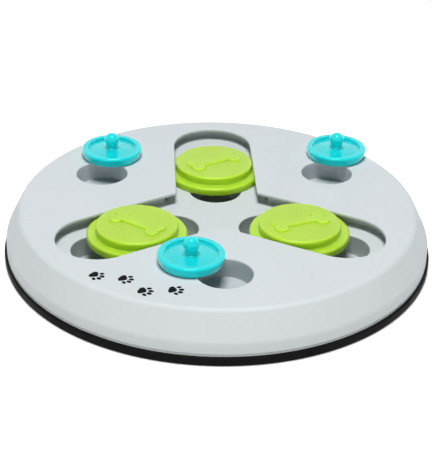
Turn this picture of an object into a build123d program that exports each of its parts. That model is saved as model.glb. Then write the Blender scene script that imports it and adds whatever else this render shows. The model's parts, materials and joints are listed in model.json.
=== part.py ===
from build123d import *
import os
from math import copysign, cos, radians, sin, sqrt

# Pet puzzle board: a round board with a Y-shaped slot, three captive sliders and three lids.
# Lengths are in millimetres and angles in degrees. The board stands on z = 0, centred on the
# origin, with the rear arm of its slot along +Y.

# The board as a whole
board_radius = 140.0
board_height = 32.5
arms = ("rear", "left", "right")
lands = ("rear_left", "front", "rear_right")
rear_angle = 90

# Rubber ring under the edge
ring_height = 6.0
ring_foot_width = 10.0
ring_lip = 2.0
ring_upper_width = 7.0
ring_round = 1.2
ring_ledge = 1.6

# Moulded cover: skirt, shoulder and top plate
cover_wall = 2.6
plate_thickness = 2.6
skirt_band_height = 8.7
skirt_slope_run = 8.9
shoulder_round = 4.0
skirt_break_round = 7.0
edge_round = 0.9

# The slot in the cover, and the track for the sliders below it
slot_width = 54.0
slot_corner_round = 2.0
slot_edge_round = 1.5
slot_lip = 6.0
track_height = 6.1
tray_wall = 2.0
tray_floor = 2.0
tray_end_gap = 3.2
corner_gap = 3.2

# Treat wells under the sliders
track_well_radius = 17.5
track_well_base_gap = 1.5
inner_well_share = 0.398

# Treat wells under the lids
lid_well_radius = 17.2
lid_well_depth = 13.0
lid_well_share = 0.515
cup_wall = 1.8
cup_round = 0.8
well_edge_round = 0.8

# Sliders
slider_gap = 0.8
flange_gap = 0.9
flange_top_gap = 1.0
slider_proud = 1.8
slider_skin = 2.4
slider_wall = 2.6
slider_rib = 1.8
slider_rib_gap = 0.8
disc_round = 1.4
flange_round = 1.6
flange_foot_round = 0.6
slider_place_shares = {"rear": 0.661, "left": 0.688, "right": 0.664}

# Raised bone on each slider, for a paw to catch on
bone_length = 38.0
bone_width = 6.4
bone_lobe_radius = 4.6
bone_lobe_offset = 3.6
bone_height = 1.2
bone_round = 1.0
bone_angles = {"rear": 30, "left": -38, "right": 20}

# Lids, each parked beside an arm of the slot: along it as a share of the slot's reach, and away
# from it as a share of the room on the land, with a minus on the arm's right
lid_radius = 21.1
lid_taper = 1.5
lid_height = 7.0
lid_rim_width = 4.4
lid_dish_depth = 1.9
lid_dish_rise = 1.2
lid_skin = 2.0
lid_wall = 2.0
lid_round = 1.4
lid_rim_round = 0.5
lid_foot_round = 2.0
knob_radius = 4.9
knob_centre_height = 12.3
neck_radius = 4.0
neck_round = 1.0
lid_parked_arms = {"rear_left": "rear", "rear_right": "rear", "front": "left"}
lid_reach_shares = {"rear_left": 0.806, "rear_right": 0.809, "front": 0.621}
lid_room_shares = {"rear_left": 0.378, "rear_right": -0.641, "front": 0.13}

# Base plate
base_thickness = 2.5
base_edge_gap = 0.2
base_rib_height = 2.5
base_rib_width = 1.8
base_rib_reach_shares = (0.5, 0.85)

# Screws and the bosses that take them
screw_radius = 1.5
screw_gap = 0.1
screw_seat_gap = 0.05
screw_tip_gap = 0.5
screw_head_radius = 2.9
screw_head_height = 1.5
screw_head_round = 0.4
base_screw_length = 12.0
boss_radius = 3.8
boss_rib = 1.6
boss_wall_gap = 7.1
base_boss_half_angle = 20
ear_radius = 4.5
ear_setback = 13.7

# Cuts run past the faces they open by this much
overrun = 1.0

# Angles, heights, radii and places that follow from the sizes above
half_arm_angle = 180 / len(arms)
arm_angles = {name: rear_angle + 2 * half_arm_angle * turn for turn, name in enumerate(arms)}
land_angles = {name: arm_angles[arm] + half_arm_angle for arm, name in zip(arms, lands)}
plate_underside = board_height - plate_thickness
floor_height = plate_underside - track_height
base_top = ring_lip + base_thickness
base_radius = board_radius - ring_upper_width / 2 - base_edge_gap
cover_edge_radius = board_radius - ring_ledge
skirt_break_height = ring_height + skirt_band_height
shoulder_radius = cover_edge_radius - skirt_slope_run
inside_radius = shoulder_radius - cover_wall
slot_half = slot_width / 2
track_half = slot_half + slot_lip
tray_half = track_half + tray_wall
slot_reach = inside_radius - tray_half - tray_end_gap
inner_well_reach = slot_reach * inner_well_share
track_well_depth = floor_height - cup_wall - track_well_base_gap - base_rib_height - base_top
ear_offset = tray_half + ear_radius
ear_reach = slot_reach - ear_setback
junction_ear_reach = ear_offset / sin(radians(half_arm_angle))
lid_cup_radius = lid_well_radius + cup_wall
lid_well_nearest = junction_ear_reach + ear_radius + lid_cup_radius
lid_well_room = inside_radius - lid_cup_radius - lid_well_nearest
lid_well_reach = lid_well_nearest + lid_well_room * lid_well_share
lid_room = shoulder_radius - slot_half - 2 * lid_radius
slider_radius = slot_half - slider_gap
slider_cavity_radius = slider_radius - slider_wall
flange_radius = track_half - flange_gap
flange_thickness = track_height - flange_top_gap
slider_height = track_height + plate_thickness + slider_proud
tray_screw_length = tray_floor + track_height - 2 * screw_tip_gap
base_boss_reach = inside_radius - boss_radius - boss_wall_gap
base_boss_places = [
    (base_boss_reach, angle + side * base_boss_half_angle)
    for angle in land_angles.values()
    for side in (-1, 1)
]


def polar(radius, angle):
    """Place at a radius and an angle about the board's centre."""
    return Pos(radius * cos(radians(angle)), radius * sin(radians(angle)), 0)


def turned(profile):
    """Solid of revolution about Z from a half section drawn with x as radius and y as height."""
    return revolve(Plane.XZ * profile, axis=Axis.Z)


def half_section(corners):
    """Closed half section; a corner is a radius, a height and, where it is rounded, its round."""
    section = make_face(Polyline(*[(radius, height) for radius, height, *_ in corners], close=True))
    for radius, height, *corner_round in corners:
        if corner_round:
            nearest = section.vertices().sort_by_distance(Vector(radius, height))[0]
            section = fillet(nearest, *corner_round)
    return section


def y_outline(half_width, corner_round):
    """Three-armed outline with round ends and slightly rounded inner corners."""
    outline = Sketch()
    for angle in arm_angles.values():
        strip = Pos(slot_reach / 2, 0, 0) * Rectangle(slot_reach, 2 * half_width)
        end = Pos(slot_reach, 0, 0) * Circle(half_width)
        outline += Rot(0, 0, angle) * (strip + end)
    corners = outline.vertices().sort_by_distance(Vector(0, 0, 0))[: len(arm_angles)]
    return fillet(corners, corner_round)


def cup(radius, depth, round_radius):
    """Round-bottomed plug that hangs down from z = 0."""
    plug = Pos(0, 0, -depth / 2) * Cylinder(radius, depth)
    return fillet(plug.edges().sort_by(Axis.Z)[0], round_radius)


def well_cut(radius, depth, round_radius):
    """Inside of a treat well that opens upwards at z = 0."""
    mouth = Pos(0, 0, overrun / 2) * Cylinder(radius, overrun)
    return cup(radius, depth, round_radius) + mouth


def cover_form(inset, top, foot, shoulder):
    """Turned form of the cover, taken in by an inset, up to a given top."""
    corners = [
        (0, foot),
        (cover_edge_radius - inset, foot),
        (cover_edge_radius - inset, skirt_break_height, skirt_break_round),
        (shoulder_radius - inset, top, shoulder),
        (0, top),
    ]
    return turned(half_section(corners))


def boss(bottom):
    """Screw boss that hangs from the underside of the cover's plate."""
    height = plate_underside - bottom
    return Pos(0, 0, bottom + height / 2) * Cylinder(boss_radius, height)


def pilot_hole(bottom, depth):
    """Blind hole in a boss, a little wider and deeper than the screw that enters it."""
    height = overrun + depth + screw_tip_gap
    return Pos(0, 0, bottom - overrun + height / 2) * Cylinder(screw_radius + screw_gap, height)


def edges_at(solid, height, band):
    """Edges of a solid that lie at a height, within a band about it."""
    return solid.edges().filter_by_position(Axis.Z, height - band / 2, height + band / 2)


def ear_places():
    """Places of the tray's screw ears: one in each inner corner and one on each side of each arm."""
    places = [polar(junction_ear_reach, angle) for angle in land_angles.values()]
    for angle in arm_angles.values():
        for side in (-1, 1):
            places.append(Rot(0, 0, angle) * Pos(ear_reach, side * ear_offset, 0))
    return places


def make_top_cover():
    outside = cover_form(0, board_height, ring_height, shoulder_round)
    inside = cover_form(cover_wall, plate_underside, ring_height - overrun, shoulder_round / 2)
    added = []
    slot = extrude(y_outline(slot_half, slot_corner_round), plate_thickness + 2 * overrun)
    cuts = [Pos(0, 0, plate_underside - overrun) * slot]
    for angle in land_angles.values():
        place = polar(lid_well_reach, angle) * Pos(0, 0, board_height)
        well = cup(lid_cup_radius, lid_well_depth + cup_wall, cup_round + cup_wall)
        added.append(place * well)
        cuts.append(place * well_cut(lid_well_radius, lid_well_depth, cup_round))
    for reach, angle in base_boss_places:
        rib_length = shoulder_radius - cover_wall / 2 - reach
        rib_height = (plate_underside - base_top) / 2
        rib = Pos(reach + rib_length / 2, 0, plate_underside - rib_height / 2)
        added.append(polar(reach, angle) * boss(base_top))
        added.append(Rot(0, 0, angle) * rib * Box(rib_length, boss_rib, rib_height))
        cuts.append(polar(reach, angle) * pilot_hole(base_top, base_screw_length - base_thickness))
    for place in ear_places():
        added.append(place * boss(floor_height))
        cuts.append(place * pilot_hole(floor_height, tray_screw_length - tray_floor))
    cover = (outside - inside) + added - cuts
    slot_rims = edges_at(cover, board_height, edge_round).filter_by(lambda edge: not edge.is_closed)
    cover = fillet(slot_rims, slot_edge_round)
    rims = edges_at(cover, board_height, edge_round).filter_by(GeomType.CIRCLE)
    well_rims = rims.filter_by(lambda edge: edge.is_closed and edge.radius < lid_cup_radius)
    return fillet(well_rims, edge_round)


def make_slider_tray():
    outline = y_outline(tray_half, slot_corner_round)
    channel = y_outline(track_half, slot_corner_round)
    floor = Pos(0, 0, floor_height - tray_floor) * extrude(outline, tray_floor)
    walls = Pos(0, 0, floor_height) * extrude(outline - channel, track_height)
    mid_floor = floor_height - tray_floor / 2
    added = []
    gaps = []
    cuts = []
    for angle in land_angles.values():
        gap_height = track_height + overrun
        gap = Pos(tray_half, 0, floor_height + gap_height / 2)
        gaps.append(Rot(0, 0, angle) * gap * Box(tray_half, corner_gap, gap_height))
        web = Pos(junction_ear_reach - ear_radius, 0, mid_floor)
        added.append(Rot(0, 0, angle) * web * Box(2 * ear_radius, 2 * ear_radius, tray_floor))
    for angle in arm_angles.values():
        for side in (-1, 1):
            web = Pos(ear_reach, side * (ear_offset - ear_radius / 2), mid_floor)
            added.append(Rot(0, 0, angle) * web * Box(2 * ear_radius, ear_radius, tray_floor))
        for reach in (inner_well_reach, slot_reach):
            place = polar(reach, angle) * Pos(0, 0, floor_height)
            well = cup(track_well_radius + cup_wall, track_well_depth + cup_wall, cup_round + cup_wall)
            added.append(place * well)
            cuts.append(place * well_cut(track_well_radius, track_well_depth, cup_round))
    for place in ear_places():
        added.append(place * Pos(0, 0, mid_floor) * Cylinder(ear_radius, tray_floor))
        hole = Cylinder(screw_radius + screw_gap, tray_floor + 2 * overrun)
        cuts.append(place * Pos(0, 0, mid_floor) * hole)
    tray = floor + (walls - gaps) + added - cuts
    rims = edges_at(tray, floor_height, well_edge_round).filter_by(GeomType.CIRCLE)
    mouths = rims.filter_by(lambda edge: 2 * ear_radius < edge.radius < slot_half)
    return fillet(mouths, well_edge_round)


def make_foot_ring():
    """C-shaped section that grips the edge of the base plate and carries the cover's skirt."""
    groove_radius = base_radius + base_edge_gap
    corners = [
        (board_radius - ring_foot_width, 0),
        (board_radius, 0, ring_round),
        (board_radius, ring_height, ring_round),
        (board_radius - ring_upper_width, ring_height),
        (board_radius - ring_upper_width, base_top),
        (groove_radius, base_top),
        (groove_radius, ring_lip),
        (board_radius - ring_foot_width, ring_lip),
    ]
    return turned(half_section(corners))


def make_base_plate():
    plate = Pos(0, 0, ring_lip + base_thickness / 2) * Cylinder(base_radius, base_thickness)
    for share in base_rib_reach_shares:
        rib_radius = base_boss_reach * share
        ring = Circle(rib_radius) - Circle(rib_radius - base_rib_width)
        plate += Pos(0, 0, base_top) * extrude(ring, base_rib_height)
    sink_radius = screw_head_radius + screw_seat_gap
    for reach, angle in base_boss_places:
        hole = Pos(0, 0, ring_lip + base_thickness / 2) * Cylinder(
            screw_radius + screw_gap, base_thickness + 2 * overrun
        )
        sink = Pos(0, 0, ring_lip + screw_head_height / 2) * Cone(
            sink_radius, screw_radius + screw_seat_gap, screw_head_height
        )
        plate -= polar(reach, angle) * (hole + sink)
    return plate


def make_bone():
    """Raised bone that lies along x, rooted in the skin of a slider that stands on z = 0."""
    root = slider_skin / 2
    height = root + bone_height
    lobe_reach = bone_length / 2 - bone_lobe_radius
    bar = Box(2 * lobe_reach, bone_width, height)
    lobe = Cylinder(bone_lobe_radius, height)
    bone = fillet(bar.edges().filter_by(Axis.X).group_by(Axis.Z)[-1], bone_round)
    lobe = fillet(lobe.edges().sort_by(Axis.Z)[-1], bone_round)
    for end in (-1, 1):
        for side in (-1, 1):
            bone += Pos(end * lobe_reach, side * bone_lobe_offset, 0) * lobe
    return Pos(0, 0, slider_height - root + height / 2) * bone


def make_slider():
    """One slider standing on z = 0: a disc on a wider flange, hollow below, with crossed ribs."""
    corners = [
        (slider_cavity_radius, 0),
        (flange_radius, 0, flange_foot_round),
        (flange_radius, flange_thickness, flange_round),
        (slider_radius, flange_thickness),
        (slider_radius, slider_height, disc_round),
        (0, slider_height),
        (0, slider_height - slider_skin),
        (slider_cavity_radius, slider_height - slider_skin),
    ]
    slider = turned(half_section(corners)) + make_bone()
    rib_height = slider_height - slider_skin - slider_rib_gap
    rib = Box(2 * slider_cavity_radius + slider_wall, slider_rib, rib_height)
    for angle in (0, 90):
        slider += Rot(0, 0, angle) * Pos(0, 0, slider_rib_gap + rib_height / 2) * rib
    return slider


def make_lid():
    """One lid standing on z = 0: a tapered cap with a dish that rises to a ball knob on a neck."""
    foot_radius = lid_radius - lid_taper
    inner_radius = foot_radius - lid_wall
    rim_radius = lid_radius - lid_rim_width
    dish_edge_height = lid_height - lid_dish_depth
    dish_middle_height = dish_edge_height + lid_dish_rise
    knob_foot = knob_centre_height - sqrt(knob_radius**2 - neck_radius**2)
    corners = [
        (inner_radius, 0),
        (foot_radius, 0, lid_foot_round),
        (lid_radius, lid_height, lid_round),
        (rim_radius, lid_height, lid_rim_round),
        (rim_radius, dish_edge_height),
        (neck_radius, dish_middle_height, neck_round),
        (neck_radius, knob_foot),
        (0, knob_foot),
        (0, dish_middle_height - lid_skin),
        (inner_radius, dish_edge_height - lid_skin),
    ]
    return turned(half_section(corners)) + Pos(0, 0, knob_centre_height) * Sphere(knob_radius)


def make_base_screws():
    """Countersunk screws, heads down in the base plate and cores in the cover's bosses."""
    corners = [
        (0, 0),
        (screw_head_radius, 0),
        (screw_radius, screw_head_height),
        (screw_radius, base_screw_length),
        (0, base_screw_length),
    ]
    screw = turned(half_section(corners))
    places = [polar(reach, angle) * Pos(0, 0, ring_lip) for reach, angle in base_boss_places]
    return Compound([place * screw for place in places])


def make_tray_screws():
    """Pan-headed screws that hold the tray's ears against the cover's short bosses."""
    corners = [
        (0, -screw_head_height),
        (screw_head_radius, -screw_head_height, screw_head_round),
        (screw_head_radius, 0),
        (screw_radius, 0),
        (screw_radius, tray_screw_length),
        (0, tray_screw_length),
    ]
    screw = turned(half_section(corners))
    return Compound([place * Pos(0, 0, floor_height - tray_floor) * screw for place in ear_places()])


nodes = {
    "top_cover": make_top_cover(),
    "slider_tray": make_slider_tray(),
    "foot_ring": make_foot_ring(),
    "base_plate": make_base_plate(),
    "base_screws": make_base_screws(),
    "tray_screws": make_tray_screws(),
}

slider = make_slider()
for name, angle in arm_angles.items():
    place = polar(slot_reach * slider_place_shares[name], angle) * Pos(0, 0, floor_height)
    nodes["slider_" + name] = place * Rot(0, 0, bone_angles[name]) * slider

lid = make_lid()
for name, arm in lid_parked_arms.items():
    away = copysign(slot_half + lid_radius, lid_room_shares[name]) + lid_room * lid_room_shares[name]
    place = Pos(slot_reach * lid_reach_shares[name], away, board_height)
    nodes["lid_" + name] = Rot(0, 0, arm_angles[arm]) * place * lid

os.makedirs("parts", exist_ok=True)
for name, solid in nodes.items():
    export_step(solid, "parts/" + name + ".step")
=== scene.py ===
import json
from math import acos, atan2, cos, degrees, pi, radians, sin, sqrt

import bmesh
import bpy
from mathutils import Matrix, Vector
from mathutils.geometry import tessellate_polygon


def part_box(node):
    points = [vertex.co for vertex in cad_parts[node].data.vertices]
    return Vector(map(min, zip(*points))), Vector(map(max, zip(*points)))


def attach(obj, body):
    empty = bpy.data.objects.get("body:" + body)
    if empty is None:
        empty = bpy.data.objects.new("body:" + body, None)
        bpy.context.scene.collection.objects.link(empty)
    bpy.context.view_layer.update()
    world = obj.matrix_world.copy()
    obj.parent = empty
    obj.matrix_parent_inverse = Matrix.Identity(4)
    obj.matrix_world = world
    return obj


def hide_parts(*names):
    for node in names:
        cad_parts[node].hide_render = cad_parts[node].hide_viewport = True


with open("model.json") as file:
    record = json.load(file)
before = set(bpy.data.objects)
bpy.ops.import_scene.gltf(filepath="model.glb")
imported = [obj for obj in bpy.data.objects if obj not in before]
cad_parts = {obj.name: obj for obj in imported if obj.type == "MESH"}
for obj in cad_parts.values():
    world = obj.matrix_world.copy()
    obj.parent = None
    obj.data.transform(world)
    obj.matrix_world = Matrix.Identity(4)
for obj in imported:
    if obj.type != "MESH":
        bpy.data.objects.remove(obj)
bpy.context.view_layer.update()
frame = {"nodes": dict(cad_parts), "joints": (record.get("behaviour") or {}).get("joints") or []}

# Pet puzzle board: pale grey cover, lime sliders, turquoise lids and a black rubber ring.
# Lengths are in metres, in the same frame as the solids: +Z up, rear arm of the slot along +Y.

# Levels read from the solids
board_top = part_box("top_cover")[1].z
plate_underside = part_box("slider_tray")[1].z
track_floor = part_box("slider_rear")[0].z
bone_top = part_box("slider_rear")[1].z
ring_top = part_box("foot_ring")[1].z
base_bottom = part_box("base_plate")[0].z
base_rib_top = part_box("base_plate")[1].z
lid_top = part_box("lid_front")[1].z

# Directions of the arms and of the lands, and the turn from an arm to the next land, in degrees
arm_angles = {"rear": 90, "left": 210, "right": 330}
land_angles = {"rear_left": 150, "rear_right": 30, "front": 270}
corner_turn = 60

# Foot ring and base plate
ring_radius = 0.140
ring_foot_width = 0.010
ring_upper_width = 0.007
ring_round = 0.0012
base_thickness = 0.0025
base_edge_gap = 0.0002
base_rib_width = 0.0018
base_rib_reach_shares = (0.5, 0.85)

# Cover, with the thin parting line above the ring
ring_ledge = 0.0016
cover_wall = 0.0026
skirt_band_height = 0.0087
skirt_slope_run = 0.0089
skirt_break_round = 0.007
shoulder_round = 0.004
inner_shoulder_round = 0.002
flat_radius = 0.122
parting_line_height = 0.0009
parting_line_width = 0.0005
parting_line_depth = 0.0006

# Slot, with a relief below the upright face of its lip
slot_half = 0.027
slot_corner_round = 0.002
least_corner_round = 0.0003
slot_lip = 0.006
lip_edge = 0.001
lip_face = 0.001
lip_relief = 0.003

# Tray below the slot; its walls stand a hair in from its edge
tray_wall = 0.002
tray_floor = 0.002
wall_end_gap = 0.0032
wall_inset = 0.00005

# How deep the track walls and the base plate's ribs are rooted in their plates
root_depth = 0.0003

# Wells
track_well_radius = 0.0175
track_well_depth = 0.0135
track_well_edge_round = 0.0008
inner_well_share = 0.398
lid_well_radius = 0.0172
lid_well_depth = 0.013
lid_well_edge_round = 0.0009
cup_wall = 0.0018
cup_round = 0.0008

# Sliders
slider_gap = 0.0008
flange_gap = 0.0009
flange_top_gap = 0.001
slider_foot_gap = 0.00003
slider_skin = 0.0024
slider_wall = 0.0026
disc_round = 0.0014
disc_root_round = 0.0006
flange_round = 0.0016
flange_foot_round = 0.0006

# Raised bone on each slider, and the way that it lies, in degrees
bone_length = 0.038
bone_half_width = 0.0032
bone_lobe_radius = 0.0046
bone_lobe_offset = 0.0036
bone_height = 0.0012
bone_round = 0.001
bone_root_round = 0.0002
bone_turns = {"rear": 30, "left": -38, "right": 20}

# Lids
lid_radius = 0.0211
lid_taper = 0.0015
lid_height = 0.007
lid_rim_width = 0.0044
lid_dish_depth = 0.0019
lid_dish_rise = 0.0012
lid_skin = 0.002
lid_wall = 0.002
lid_round = 0.0014
lid_rim_round = 0.0005
lid_foot_round = 0.002
knob_radius = 0.0049
neck_radius = 0.004
neck_round = 0.001

# Screws in the base plate; the spread is in degrees to each side of a land's middle
screw_reach = 0.116
screw_spread = 20
screw_radius = 0.0015
screw_gap = 0.0001
screw_head_radius = 0.0029
screw_head_height = 0.0015
screw_sink_gap = 0.00005
screw_length = 0.012
drive_half_length = 0.0017
drive_half_width = 0.0004
drive_depth = 0.0009

# Printed paw trail near the front left of the cover; its angles are in degrees
print_reach = 0.1155
print_first_angle = -130.0
print_step_angle = 8.2
print_count = 4
print_sway = 0.0034
paw_size = 0.0098
ink_thickness = 0.00004

# Pad of a paw mark, in shares of the mark's size: a circle swollen to soft corners, then squeezed
pad_radius_share = 0.30
pad_corner_share = 0.035
pad_corners = 3
pad_flat_share = 0.05
pad_back_share = 0.16
pad_length_share = 0.86
pad_width_share = 1.1

# Outer and inner toe: place along, place across and half width in shares, and the lean in degrees
toe_shares = ((0.12, 0.38, 0.115), (0.33, 0.145, 0.125))
toe_leans = (28, 10)
toe_length_share = 1.35

# Fineness of round forms: steps round a whole turn, along an arc or over an edge
turn_steps = 240
disc_turn_steps = 192
small_turn_steps = 96
pad_steps = 48
toe_steps = 32
end_steps = 48
knob_steps = 32
arc_steps = 8
corner_steps = 6
edge_steps = 6

# Points closer than this are one, and edges above these angles in degrees stay crisp
merge_distance = 1e-7
sharp_angle = 38
screw_sharp_angle = 30

# Radii, heights and places that follow from the sizes above and from the solids
origin = Vector((0, 0))
skirt_foot = ring_top
skirt_break_height = skirt_foot + skirt_band_height
cover_edge_radius = ring_radius - ring_ledge
shoulder_radius = cover_edge_radius - skirt_slope_run
track_half = slot_half + slot_lip
tray_half = track_half + tray_wall
slider_radius = slot_half - slider_gap
slider_top = bone_top - bone_height
flange_radius = track_half - flange_gap
flange_top = plate_underside - flange_top_gap
bone_lobe_reach = bone_length / 2 - bone_lobe_radius
base_radius = ring_radius - ring_upper_width / 2 - base_edge_gap
base_top = base_bottom + base_thickness
travels = {
    joint["name"].removesuffix("_slide"): Vector(joint["axis"][:2]) * joint["range_m"][1]
    for joint in frame["joints"]
}


def middle(node):
    """Middle of a solid at rest, seen from above."""
    low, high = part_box(node)
    return (low.xy + high.xy) / 2


slot_reach = (middle("slider_rear") + travels["slider_rear"]).length
inner_well_reach = slot_reach * inner_well_share
lid_well_reach = (middle("lid_front") + travels["lid_front"]).length


def polar(radius, angle):
    """Point in the plane at a radius and an angle in degrees."""
    return Vector((radius * cos(radians(angle)), radius * sin(radians(angle))))


def arc(centre, radius, start, end, steps):
    """Points along an arc, both ends included; the angles are in degrees."""
    return [centre + polar(radius, start + (end - start) * k / steps) for k in range(steps + 1)]


def circle(centre, radius, steps):
    """Closed loop of points round a circle, counter-clockwise."""
    return [centre + polar(radius, 360 * k / steps) for k in range(steps)]


def rounded(corners, rounds):
    """Half section of (radius, height) corners, with an arc in place of each corner in rounds."""
    section = []
    for number, corner in enumerate(corners):
        here = Vector(corner)
        if number not in rounds:
            section.append(here)
            continue
        before = (Vector(corners[number - 1]) - here).normalized()
        after = (Vector(corners[(number + 1) % len(corners)]) - here).normalized()
        half_opening = acos(max(-1.0, min(1.0, before.dot(after)))) / 2
        centre = here + (before + after).normalized() * rounds[number] / sin(half_opening)
        start_point = here + before * rounds[number] * cos(half_opening) / sin(half_opening)
        end_point = here + after * rounds[number] * cos(half_opening) / sin(half_opening)
        start = degrees(atan2(start_point.y - centre.y, start_point.x - centre.x))
        turn = degrees(atan2(end_point.y - centre.y, end_point.x - centre.x)) - start
        turn = (turn + 180) % 360 - 180
        section += arc(centre, rounds[number], start, start + turn, arc_steps)
    return section


def round_over(radius, top):
    """Steps of a rounded upper edge, from the flat top down: how far from the wall, and how high."""
    turns = [radians(90 * k / edge_steps) for k in range(edge_steps + 1)]
    return [(radius * (1 - sin(turn)), top - radius * (1 - cos(turn))) for turn in turns]


def y_loop(half_width, corner_round):
    """Closed loop round the three arms, with round ends and rounded inner corners."""
    points = []
    for angle in arm_angles.values():
        points += arc(polar(slot_reach, angle), half_width, angle - 90, angle + 90, end_steps)
        corner_reach = (half_width + corner_round) / sin(radians(corner_turn))
        centre = polar(corner_reach, angle + corner_turn)
        points += arc(centre, corner_round, angle + 270, angle + 270 - corner_turn, corner_steps)
    return points


def track_wall_loop(angle):
    """Closed loop round the U-shaped track wall of one arm, open towards the junction."""
    sides = []
    for half_width in (track_half, tray_half - wall_inset):
        start = (half_width * cos(radians(corner_turn)) + wall_end_gap / 2) / sin(radians(corner_turn))
        path = [Vector((start, -half_width))]
        path += arc(Vector((slot_reach, 0)), half_width, -90, 90, end_steps)
        path.append(Vector((start, half_width)))
        sides.append(path)
    turn = Matrix.Rotation(radians(angle), 2)
    return [turn @ point for point in sides[1] + sides[0][::-1]]


class Form:
    """Vertices and faces of one piece while it is being drawn; wells' floors take a darker second
    material, which paints shade into them.
    """

    # Number of the material whose darker grey paints shade on the floors of wells
    painted_shade_index = 1

    def __init__(self):
        self.points = []
        self.faces = []
        self.painted_shade_faces = []

    def loop(self, flat_points, height):
        """Adds a loop of points at one height and gives their numbers."""
        first = len(self.points)
        self.points += [(point[0], point[1], height) for point in flat_points]
        return list(range(first, len(self.points)))

    def bridge(self, lower, upper):
        """Joins two loops of as many points with a band of faces."""
        for k in range(len(lower)):
            after = (k + 1) % len(lower)
            self.faces.append((lower[k], lower[after], upper[after], upper[k]))

    def stack(self, loops):
        """Joins a row of loops, each to the next."""
        for lower, upper in zip(loops, loops[1:]):
            self.bridge(lower, upper)

    def fill(self, *loops):
        """Fills a flat face bounded by an outer loop and any holes."""
        numbers = [number for loop in loops for number in loop]
        outlines = [[Vector(self.points[number]) for number in loop] for loop in loops]
        for triangle in tessellate_polygon(outlines):
            self.faces.append(tuple(numbers[k] for k in triangle))

    def turn(self, section, steps, centre=origin, closed=False):
        """Adds a surface of revolution of (radius, height) points; a zero radius makes a pole."""
        rings = []
        for radius, height in section:
            if radius < merge_distance:
                rings.append(self.loop([centre], height))
            else:
                rings.append(self.loop(circle(centre, radius, steps), height))
        pairs = list(zip(rings, rings[1:]))
        if closed:
            pairs.append((rings[-1], rings[0]))
        for first, second in pairs:
            if len(first) == len(second):
                self.bridge(first, second)
            else:
                pole, ring = (first, second) if len(first) == 1 else (second, first)
                for k in range(len(ring)):
                    self.faces.append((pole[0], ring[k], ring[(k + 1) % len(ring)]))
        return rings

    def prism(self, flat_points, low, high):
        """Adds a closed upright prism over an outline."""
        lower = self.loop(flat_points, low)
        upper = self.loop(flat_points, high)
        self.bridge(lower, upper)
        self.fill(lower)
        self.fill(upper)

    def piece(self, name, body, materials, nodes=(), crisp_above=sharp_angle):
        """Makes the finished object, which rides on its body and stands for its solids."""
        mesh = bpy.data.meshes.new(name)
        mesh.from_pydata(self.points, [], self.faces)
        # Floors of wells take the second material, whose darker grey paints shade into them
        for number in self.painted_shade_faces:
            mesh.polygons[number].material_index = self.painted_shade_index
        work = bmesh.new()
        work.from_mesh(mesh)
        bmesh.ops.remove_doubles(work, verts=work.verts, dist=merge_distance)
        bmesh.ops.recalc_face_normals(work, faces=work.faces)
        work.to_mesh(mesh)
        work.free()
        mesh.shade_smooth()
        mesh.set_sharp_from_angle(angle=radians(crisp_above))
        for material in materials:
            mesh.materials.append(material)
        made = bpy.data.objects.new(name, mesh)
        bpy.context.scene.collection.objects.link(made)
        normals = made.modifiers.new("even_normals", "WEIGHTED_NORMAL")
        normals.keep_sharp = True
        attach(made, body)
        if nodes:
            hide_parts(*nodes)
        return made


# Noise of the moulded grain, its slow tone and its patchy polish, which is finer than the tone
grain_detail = 2.0
tone_detail = 3.0
polish_detail = 4.0
polish_swirl = 0.6
polish_fineness = 2.7
polish_low = 0.3
polish_high = 0.7
patches_per_metre = 30.0


def make_grain_group():
    """Fine moulded grain: a height for the bump, a slow tone and a patchy polish."""
    group = bpy.data.node_groups.new("moulded_grain", "ShaderNodeTree")
    for name in ("Grain per metre", "Patches per metre"):
        group.interface.new_socket(name=name, in_out="INPUT", socket_type="NodeSocketFloat")
    for name in ("Height", "Tone", "Polish"):
        group.interface.new_socket(name=name, in_out="OUTPUT", socket_type="NodeSocketFloat")
    nodes = group.nodes
    links = group.links
    entry = nodes.new("NodeGroupInput")
    leave = nodes.new("NodeGroupOutput")
    place = nodes.new("ShaderNodeTexCoord")
    grain = nodes.new("ShaderNodeTexNoise")
    grain.inputs["Detail"].default_value = grain_detail
    tone = nodes.new("ShaderNodeTexNoise")
    tone.inputs["Detail"].default_value = tone_detail
    polish = nodes.new("ShaderNodeTexNoise")
    polish.inputs["Detail"].default_value = polish_detail
    polish.inputs["Distortion"].default_value = polish_swirl
    finer = nodes.new("ShaderNodeMath")
    finer.operation = "MULTIPLY"
    finer.inputs[1].default_value = polish_fineness
    for noise in (grain, tone, polish):
        links.new(place.outputs["Object"], noise.inputs["Vector"])
    links.new(entry.outputs["Grain per metre"], grain.inputs["Scale"])
    links.new(entry.outputs["Patches per metre"], tone.inputs["Scale"])
    links.new(entry.outputs["Patches per metre"], finer.inputs[0])
    links.new(finer.outputs[0], polish.inputs["Scale"])
    links.new(grain.outputs["Fac"], leave.inputs["Height"])
    links.new(tone.outputs["Fac"], leave.inputs["Tone"])
    links.new(polish.outputs["Fac"], leave.inputs["Polish"])
    return group


grain_group = make_grain_group()


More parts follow.
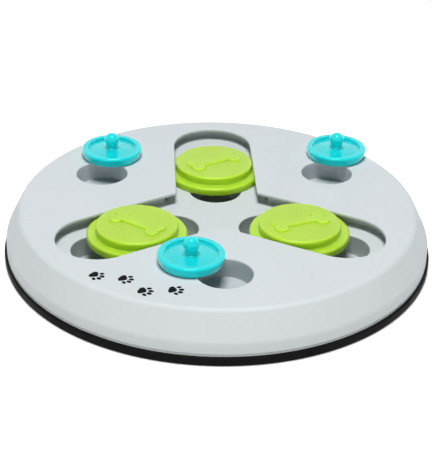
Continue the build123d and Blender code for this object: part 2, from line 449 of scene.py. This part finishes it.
def make_finish(name, deep, light, rough, grain, bump, metal=0.0, ior=1.5):
    """Finish whose colour drifts between two near tones, with varied polish and a fine grain.

    rough is the least and the most roughness, grain is grains per metre, and bump is the strength
    and depth of the grains.
    """
    material = bpy.data.materials.new(name)
    material.use_nodes = True
    nodes = material.node_tree.nodes
    links = material.node_tree.links
    shader = nodes["Principled BSDF"]
    shader.inputs["Metallic"].default_value = metal
    shader.inputs["IOR"].default_value = ior
    surface = nodes.new("ShaderNodeGroup")
    surface.node_tree = grain_group
    surface.inputs["Grain per metre"].default_value = grain
    surface.inputs["Patches per metre"].default_value = patches_per_metre
    colours = nodes.new("ShaderNodeMix")
    colours.data_type = "RGBA"
    colours.inputs["A"].default_value = (*deep, 1.0)
    colours.inputs["B"].default_value = (*light, 1.0)
    gloss = nodes.new("ShaderNodeMapRange")
    gloss.inputs["From Min"].default_value = polish_low
    gloss.inputs["From Max"].default_value = polish_high
    gloss.inputs["To Min"].default_value = rough[0]
    gloss.inputs["To Max"].default_value = rough[1]
    relief = nodes.new("ShaderNodeBump")
    relief.inputs["Strength"].default_value = bump[0]
    relief.inputs["Distance"].default_value = bump[1]
    links.new(surface.outputs["Tone"], colours.inputs["Factor"])
    links.new(colours.outputs["Result"], shader.inputs["Base Color"])
    links.new(surface.outputs["Polish"], gloss.inputs["Value"])
    links.new(gloss.outputs["Result"], shader.inputs["Roughness"])
    links.new(surface.outputs["Height"], relief.inputs["Height"])
    links.new(relief.outputs["Normal"], shader.inputs["Normal"])
    return material


def add_glow_through(material, tint, spread, depth, coat_ior, coat_rough):
    """Dyed plastic: light spreads below the skin, and only its clear outer gloss is white."""
    shader = material.node_tree.nodes["Principled BSDF"]
    shader.inputs["Specular Tint"].default_value = (*tint, 1.0)
    shader.inputs["Subsurface Weight"].default_value = 1.0
    shader.inputs["Subsurface Radius"].default_value = spread
    shader.inputs["Subsurface Scale"].default_value = depth
    shader.inputs["Coat Weight"].default_value = 1.0
    shader.inputs["Coat Roughness"].default_value = coat_rough
    shader.inputs["Coat IOR"].default_value = coat_ior


cover_plastic = make_finish(
    "cover_plastic",
    deep=(0.55, 0.59, 0.61),
    light=(0.59, 0.63, 0.65),
    rough=(0.56, 0.66),
    grain=2600.0,
    bump=(0.25, 0.00008),
)
tray_plastic = make_finish(
    "tray_plastic",
    deep=(0.55, 0.59, 0.605),
    light=(0.59, 0.63, 0.645),
    rough=(0.44, 0.54),
    grain=2600.0,
    bump=(0.25, 0.00008),
)
# Darker, rougher copy of the cover's grey for the floors of the wells: painted shade standing in for
# the shade deep in the wells
well_floor_painted_shade = make_finish(
    "well_floor_painted_shade",
    deep=(0.435, 0.48, 0.495),
    light=(0.47, 0.515, 0.53),
    rough=(0.6, 0.7),
    grain=1900.0,
    bump=(0.35, 0.0001),
)
base_plastic = make_finish(
    "base_plastic",
    deep=(0.56, 0.60, 0.62),
    light=(0.61, 0.65, 0.67),
    rough=(0.5, 0.62),
    grain=1800.0,
    bump=(0.35, 0.0001),
)
slider_plastic = make_finish(
    "slider_plastic",
    deep=(0.39, 0.635, 0.018),
    light=(0.42, 0.67, 0.024),
    rough=(0.4, 0.5),
    grain=2200.0,
    bump=(0.12, 0.00006),
    ior=1.45,
)
add_glow_through(
    slider_plastic,
    tint=(0.6, 1.0, 0.02),
    spread=(1.0, 1.0, 0.3),
    depth=0.008,
    coat_ior=1.34,
    coat_rough=0.4,
)
lid_plastic = make_finish(
    "lid_plastic",
    deep=(0.003, 0.60, 0.63),
    light=(0.008, 0.65, 0.68),
    rough=(0.1, 0.18),
    grain=1500.0,
    bump=(0.08, 0.00005),
)
add_glow_through(
    lid_plastic,
    tint=(0.02, 1.0, 1.0),
    spread=(0.3, 1.0, 1.0),
    depth=0.005,
    coat_ior=1.22,
    coat_rough=0.15,
)
ring_rubber = make_finish(
    "ring_rubber",
    deep=(0.002, 0.002, 0.0021),
    light=(0.0045, 0.0045, 0.0047),
    rough=(0.5, 0.68),
    grain=3200.0,
    bump=(0.4, 0.00012),
    ior=1.15,
)
screw_steel = make_finish(
    "screw_steel",
    deep=(0.50, 0.51, 0.52),
    light=(0.60, 0.61, 0.62),
    rough=(0.25, 0.42),
    grain=5200.0,
    bump=(0.2, 0.00004),
    metal=1.0,
)
print_ink = make_finish(
    "print_ink",
    deep=(0.004, 0.004, 0.005),
    light=(0.010, 0.010, 0.011),
    rough=(0.45, 0.6),
    grain=3000.0,
    bump=(0.2, 0.00003),
    ior=1.1,
)


def add_cup(form, mouth, centre, radius, floor):
    """Wall and floor of a cup below a loop at its mouth; the floor takes the darker second material,
    which paints shade into it.
    """
    mouth_height = form.points[mouth[0]][2]
    section = rounded([(radius, mouth_height), (radius, floor), (0, floor)], {1: cup_round})
    first = len(form.faces)
    rings = form.turn(section[1:], small_turn_steps, centre)
    form.painted_shade_faces += range(first, len(form.faces))
    form.bridge(mouth, rings[0])


def add_well(form, centre, sizes, top, underside):
    """Well in a plate, with a rounded mouth and a cup below; gives its holes above and below."""
    radius, depth, edge_round = sizes
    mouth = [
        form.loop(circle(centre, radius + out, small_turn_steps), height)
        for out, height in round_over(edge_round, top)
    ]
    form.stack(mouth)
    add_cup(form, mouth[-1], centre, radius, top - depth)
    root = form.loop(circle(centre, radius + cup_wall, small_turn_steps), underside)
    add_cup(form, root, centre, radius + cup_wall, top - depth - cup_wall)
    return mouth[0], root


def make_cover():
    """Cover shell: turned skirt and shoulder, flat top with the slot and wells, and its inside."""
    form = Form()
    line_foot = skirt_foot + parting_line_height
    outside = rounded(
        [
            (cover_edge_radius, skirt_foot),
            (cover_edge_radius, line_foot),
            (cover_edge_radius - parting_line_depth, line_foot),
            (cover_edge_radius - parting_line_depth, line_foot + parting_line_width),
            (cover_edge_radius, line_foot + parting_line_width),
            (cover_edge_radius, skirt_break_height),
            (shoulder_radius, board_top),
            (flat_radius, board_top),
        ],
        {5: skirt_break_round, 6: shoulder_round},
    )
    inside = rounded(
        [
            (flat_radius, plate_underside),
            (shoulder_radius - cover_wall, plate_underside),
            (cover_edge_radius - cover_wall, skirt_break_height),
            (cover_edge_radius - cover_wall, skirt_foot),
        ],
        {1: inner_shoulder_round, 2: skirt_break_round},
    )
    outer_rings = form.turn(outside, turn_steps)
    inner_rings = form.turn(inside, turn_steps)
    form.bridge(inner_rings[-1], outer_rings[0])
    slot_edge = round_over(lip_edge, board_top)
    slot_edge += [(0, board_top - lip_edge - lip_face), (lip_relief, plate_underside)]
    slot_loops = [
        form.loop(y_loop(slot_half + out, max(slot_corner_round - out, least_corner_round)), height)
        for out, height in slot_edge
    ]
    form.stack(slot_loops)
    top_holes = [slot_loops[0]]
    under_holes = [slot_loops[-1]]
    sizes = (lid_well_radius, lid_well_depth, lid_well_edge_round)
    for angle in land_angles.values():
        centre = polar(lid_well_reach, angle)
        mouth, root = add_well(form, centre, sizes, board_top, plate_underside)
        top_holes.append(mouth)
        under_holes.append(root)
    form.fill(outer_rings[-1], *top_holes)
    form.fill(inner_rings[0], *under_holes)
    # The second material paints shade on the floors of the lid wells
    plastic_and_painted_shade = [cover_plastic, well_floor_painted_shade]
    return form.piece("cover_shell", "board", plastic_and_painted_shade, ["top_cover"])


def make_tray():
    """Channel floor with its six wells, and the three track walls that stand on it."""
    form = Form()
    under = track_floor - tray_floor
    upper = form.loop(y_loop(tray_half, slot_corner_round), track_floor)
    lower = form.loop(y_loop(tray_half, slot_corner_round), under)
    form.bridge(lower, upper)
    floor_holes = []
    under_holes = []
    sizes = (track_well_radius, track_well_depth, track_well_edge_round)
    for angle in arm_angles.values():
        for reach in (inner_well_reach, slot_reach):
            centre = polar(reach, angle)
            mouth, root = add_well(form, centre, sizes, track_floor, under)
            floor_holes.append(mouth)
            under_holes.append(root)
    form.fill(upper, *floor_holes)
    form.fill(lower, *under_holes)
    for angle in arm_angles.values():
        form.prism(track_wall_loop(angle), track_floor - root_depth, plate_underside)
    # The second material paints shade on the floors of the track wells
    plastic_and_painted_shade = [tray_plastic, well_floor_painted_shade]
    return form.piece("track_tray", "board", plastic_and_painted_shade, ["slider_tray"])


def make_ring():
    """Rubber ring with a groove for the edge of the base plate."""
    form = Form()
    groove_radius = base_radius + base_edge_gap
    corners = [
        (ring_radius - ring_foot_width, 0),
        (ring_radius, 0),
        (ring_radius, ring_top),
        (ring_radius - ring_upper_width, ring_top),
        (ring_radius - ring_upper_width, base_top),
        (groove_radius, base_top),
        (groove_radius, base_bottom),
        (ring_radius - ring_foot_width, base_bottom),
    ]
    form.turn(rounded(corners, {1: ring_round, 2: ring_round}), turn_steps, closed=True)
    return form.piece("rubber_ring", "board", [ring_rubber], ["foot_ring"])


def screw_places():
    """Centres of the base screws."""
    return [
        polar(screw_reach, angle + side * screw_spread)
        for angle in land_angles.values()
        for side in (-1, 1)
    ]


def make_base():
    """Base plate with stiffening rings on its inside and a countersunk hole for each screw."""
    form = Form()
    rim_low = form.loop(circle(origin, base_radius, turn_steps), base_bottom)
    rim_high = form.loop(circle(origin, base_radius, turn_steps), base_top)
    form.bridge(rim_low, rim_high)
    low_holes = []
    high_holes = []
    for centre in screw_places():
        wide = circle(centre, screw_head_radius + screw_sink_gap, small_turn_steps)
        narrow = circle(centre, screw_radius + screw_gap, small_turn_steps)
        sink = form.loop(wide, base_bottom)
        neck = form.loop(narrow, base_bottom + screw_head_height)
        through = form.loop(narrow, base_top)
        form.stack([sink, neck, through])
        low_holes.append(sink)
        high_holes.append(through)
    form.fill(rim_low, *low_holes)
    form.fill(rim_high, *high_holes)
    root = base_top - root_depth
    for share in base_rib_reach_shares:
        outer = screw_reach * share
        inner = outer - base_rib_width
        section = [(inner, root), (outer, root), (outer, base_rib_top), (inner, base_rib_top)]
        form.turn(section, turn_steps, closed=True)
    return form.piece("closing_plate", "board", [base_plastic], ["base_plate"])


def drive_loop(centre):
    """Cross-shaped outline of a screw's drive."""
    arms = []
    for quarter in range(4):
        turn = Matrix.Rotation(quarter * pi / 2, 2)
        corners = (
            (drive_half_length, -drive_half_width),
            (drive_half_length, drive_half_width),
            (drive_half_width, drive_half_width),
        )
        arms += [centre + turn @ Vector(corner) for corner in corners]
    return arms


def make_screws():
    """Countersunk screws with a cross drive, heads down."""
    form = Form()
    tip = base_bottom + screw_length
    section = [
        (screw_head_radius, base_bottom),
        (screw_radius, base_bottom + screw_head_height),
        (screw_radius, tip - screw_radius),
        (0, tip),
    ]
    for centre in screw_places():
        rings = form.turn(section, small_turn_steps, centre)
        mouth = form.loop(drive_loop(centre), base_bottom)
        end = form.loop(drive_loop(centre), base_bottom + drive_depth)
        form.fill(rings[0], mouth)
        form.bridge(mouth, end)
        form.fill(end)
    name = "base_screw_set"
    return form.piece(name, "board", [screw_steel], ["base_screws"], screw_sharp_angle)


def bone_loop(inset):
    """Outline of a bone lying along x, taken in by an inset."""
    radius = bone_lobe_radius - inset
    side = bone_half_width - inset - bone_lobe_offset
    meet = degrees(atan2(side, -sqrt(radius**2 - side**2)))
    notch = degrees(atan2(-bone_lobe_offset, sqrt(radius**2 - bone_lobe_offset**2)))
    lobe = arc(Vector((bone_lobe_reach, bone_lobe_offset)), radius, notch, meet % 360, end_steps)
    upper = lobe + [Vector((-point.x, point.y)) for point in lobe[::-1]]
    lower = [-point for point in lobe[1:]] + [Vector((point.x, -point.y)) for point in lobe[:0:-1]]
    return upper + lower


def make_slider(arm):
    """One slider: disc on a flange, hollow below, with a raised bone for a paw to catch on."""
    form = Form()
    node = "slider_" + arm
    centre = middle(node)
    cavity = slider_radius - slider_wall
    foot = track_floor + slider_foot_gap
    ceiling = slider_top - slider_skin
    corners = [
        (0, slider_top),
        (slider_radius, slider_top),
        (slider_radius, flange_top),
        (flange_radius, flange_top),
        (flange_radius, foot),
        (cavity, foot),
        (cavity, ceiling),
        (0, ceiling),
    ]
    rounds = {1: disc_round, 2: disc_root_round, 3: flange_round, 4: flange_foot_round}
    rings = form.turn(rounded(corners, rounds)[1:], disc_turn_steps, centre)
    turn = Matrix.Rotation(radians(bone_turns[arm]), 2)
    bone_edge = [(-bone_root_round, slider_top)] + round_over(bone_round, bone_top)[::-1]
    bands = [
        form.loop([centre + turn @ point for point in bone_loop(inset)], height)
        for inset, height in bone_edge
    ]
    form.stack(bands)
    form.fill(rings[0], bands[0])
    form.fill(bands[-1])
    return form.piece("sliding_disc_" + arm, node, [slider_plastic], [node])


def make_lid(land):
    """One lid: tapered cap with a dish that rises to a ball knob on a neck, hollow below."""
    form = Form()
    node = "lid_" + land
    rim_top = board_top + lid_height
    dish_edge = rim_top - lid_dish_depth
    dish_middle = dish_edge + lid_dish_rise
    rim_radius = lid_radius - lid_rim_width
    foot_radius = lid_radius - lid_taper
    knob_centre = Vector((0, lid_top - knob_radius))
    knob_foot = degrees(atan2(-sqrt(knob_radius**2 - neck_radius**2), neck_radius))
    knob = arc(knob_centre, knob_radius, 90, knob_foot, knob_steps)
    corners = [
        (neck_radius, knob[-1].y),
        (neck_radius, dish_middle),
        (rim_radius, dish_edge),
        (rim_radius, rim_top),
        (lid_radius, rim_top),
        (foot_radius, board_top),
        (foot_radius - lid_wall, board_top),
        (foot_radius - lid_wall, dish_edge - lid_skin),
        (0, dish_middle - lid_skin),
    ]
    rounds = {1: neck_round, 2: lid_rim_round, 3: lid_rim_round, 4: lid_round, 5: lid_foot_round}
    section = [(0, lid_top)] + knob[1:-1] + rounded(corners, rounds)
    form.turn(section, disc_turn_steps, middle(node))
    return form.piece("knob_lid_" + land, node, [lid_plastic], [node])


def paw_outlines():
    """Outlines of a paw mark of unit size that points along +x: a broad pad and four toes."""
    pad = []
    for k in range(pad_steps):
        angle = 360 * k / pad_steps
        corner_swell = pad_corner_share * cos(radians(pad_corners * angle))
        edge = polar(pad_radius_share + corner_swell - pad_flat_share * cos(radians(angle)), angle)
        pad.append(Vector((pad_length_share * edge.x - pad_back_share, pad_width_share * edge.y)))
    outlines = [pad]
    longer = Matrix.Diagonal((toe_length_share, 1))
    for (along, across, half_width), lean in zip(toe_shares, toe_leans):
        for side in (1, -1):
            place = Vector((along, side * across))
            turn = Matrix.Rotation(radians(side * lean), 2)
            toe = circle(origin, half_width, toe_steps)
            outlines.append([place + turn @ longer @ point for point in toe])
    return outlines


def make_paw_trail():
    """Printed trail of paw marks that follows the rim of the board."""
    form = Form()
    for step in range(print_count):
        angle = print_first_angle + step * print_step_angle
        sway = print_sway * (-1) ** step
        centre = polar(print_reach + sway, angle)
        turn = Matrix.Rotation(radians(angle + 90), 2)
        for outline in paw_outlines():
            points = [centre + turn @ (point * paw_size) for point in outline]
            form.prism(points, board_top, board_top + ink_thickness)
    return form.piece("printed_paw_trail", "board", [print_ink])


make_cover()
make_tray()
make_ring()
make_base()
make_screws()
for arm in arm_angles:
    make_slider(arm)
for land in land_angles:
    make_lid(land)
make_paw_trail()
tray_screw_slots = frame["nodes"]["tray_screws"].data.materials
tray_screw_slots.clear()
tray_screw_slots.append(screw_steel)

# Floor and studio walls
floor_half = 0.75
floor_white = 0.92
floor_glow = 0.3
sky_strength = 0.05
horizon_strength = 0.9
horizon_rise = 0.5
seen_white = 1.0

# Lamps, with powers in watts
key_power = 20.0
key_size = (0.5, 0.5)
key_place = (-0.03, -0.15, 1.4)
key_colour = (1.0, 1.0, 1.0)
fill_power = 6.8
fill_size = (3.2, 0.3)
fill_place = (0.0, -1.5, 0.16)
fill_colour = (1.0, 0.94, 0.88)

# Camera, with its axis and focal length in pixels of the picture and its angles in degrees
picture_width = 432
picture_height = 475
focal_pixels = 1303.9
axis_column = 216.86
axis_row = 246.11
camera_distance = 0.87207
camera_elevation = 29.814
camera_turn = 3.33
camera_roll = 1.367
sensor_size = 36.0


def add_seen_level(tree, unseen, seen):
    """One level for light that reaches the camera, gloss or glass, and another for the rest."""
    path = tree.nodes.new("ShaderNodeLightPath")
    eye = tree.nodes.new("ShaderNodeMath")
    eye.operation = "MAXIMUM"
    clear = tree.nodes.new("ShaderNodeMath")
    clear.operation = "MAXIMUM"
    level = tree.nodes.new("ShaderNodeMapRange")
    level.inputs["To Min"].default_value = unseen
    level.inputs["To Max"].default_value = seen
    tree.links.new(path.outputs["Is Camera Ray"], eye.inputs[0])
    tree.links.new(path.outputs["Is Glossy Ray"], eye.inputs[1])
    tree.links.new(eye.outputs[0], clear.inputs[0])
    tree.links.new(path.outputs["Is Transmission Ray"], clear.inputs[1])
    tree.links.new(clear.outputs[0], level.inputs["Value"])
    return level.outputs["Result"]


def make_floor():
    """Plain white floor that takes the board's soft shadow."""
    signs = ((-1, -1), (1, -1), (1, 1), (-1, 1))
    corners = [(floor_half * across, floor_half * along, 0) for across, along in signs]
    mesh = bpy.data.meshes.new("floor")
    mesh.from_pydata(corners, [], [(0, 1, 2, 3)])
    material = bpy.data.materials.new("floor_white")
    material.use_nodes = True
    shader = material.node_tree.nodes["Principled BSDF"]
    shader.inputs["Base Color"].default_value = (floor_white, floor_white, floor_white, 1.0)
    shader.inputs["Roughness"].default_value = 1.0
    shader.inputs["Specular IOR Level"].default_value = 0.0
    shader.inputs["Emission Color"].default_value = (1.0, 1.0, 1.0, 1.0)
    glow = add_seen_level(material.node_tree, 0.0, floor_glow)
    material.node_tree.links.new(glow, shader.inputs["Emission Strength"])
    mesh.materials.append(material)
    floor = bpy.data.objects.new("floor", mesh)
    bpy.context.scene.collection.objects.link(floor)


def make_sky():
    """Pale studio walls under a dim ceiling; the camera, gloss and glass see plain white."""
    world = bpy.data.worlds.new("studio")
    bpy.context.scene.world = world
    world.use_nodes = True
    nodes = world.node_tree.nodes
    links = world.node_tree.links
    glow = nodes["Background"]
    glow.inputs["Color"].default_value = (1.0, 1.0, 1.0, 1.0)
    direction = nodes.new("ShaderNodeTexCoord")
    height = nodes.new("ShaderNodeSeparateXYZ")
    wall = nodes.new("ShaderNodeMapRange")
    wall.inputs["From Max"].default_value = horizon_rise
    wall.inputs["To Min"].default_value = horizon_strength
    wall.inputs["To Max"].default_value = sky_strength
    links.new(direction.outputs["Generated"], height.inputs[0])
    links.new(height.outputs["Z"], wall.inputs["Value"])
    level = add_seen_level(world.node_tree, sky_strength, seen_white)
    links.new(wall.outputs["Result"], level.node.inputs["To Min"])
    links.new(level, glow.inputs["Strength"])


def make_lamp(name, place, power, size, colour):
    """Soft oblong lamp that points at the middle of the board."""
    data = bpy.data.lights.new(name, "AREA")
    data.energy = power
    data.color = colour
    data.shape = "RECTANGLE"
    data.size, data.size_y = size
    lamp = bpy.data.objects.new(name, data)
    lamp.location = place
    lamp.rotation_euler = (-Vector(place)).to_track_quat("-Z", "Y").to_euler()
    bpy.context.scene.collection.objects.link(lamp)


def make_camera():
    """Camera at the photograph's place, with its slight roll and its off-centre axis."""
    data = bpy.data.cameras.new("camera")
    data.sensor_width = sensor_size
    data.lens = focal_pixels * sensor_size / picture_height
    data.shift_x = (picture_width / 2 - axis_column) / picture_height
    data.shift_y = (axis_row - picture_height / 2) / picture_height
    camera = bpy.data.objects.new("camera", data)
    rise = radians(camera_elevation)
    turn = radians(camera_turn)
    roll = radians(camera_roll)
    back = Vector((-cos(rise) * sin(turn), -cos(rise) * cos(turn), sin(rise)))
    right = Vector((cos(turn), -sin(turn), 0))
    up = back.cross(right)
    across = right * cos(roll) + up * sin(roll)
    upward = up * cos(roll) - right * sin(roll)
    axes = Matrix((across, upward, back)).transposed()
    camera.matrix_world = Matrix.Translation(back * camera_distance) @ axes.to_4x4()
    bpy.context.scene.collection.objects.link(camera)
    bpy.context.scene.camera = camera


make_floor()
make_sky()
make_lamp("key_lamp", key_place, key_power, key_size, key_colour)
make_lamp("fill_lamp", fill_place, fill_power, fill_size, fill_colour)
make_camera()
bpy.context.scene.view_settings.view_transform = "Standard"
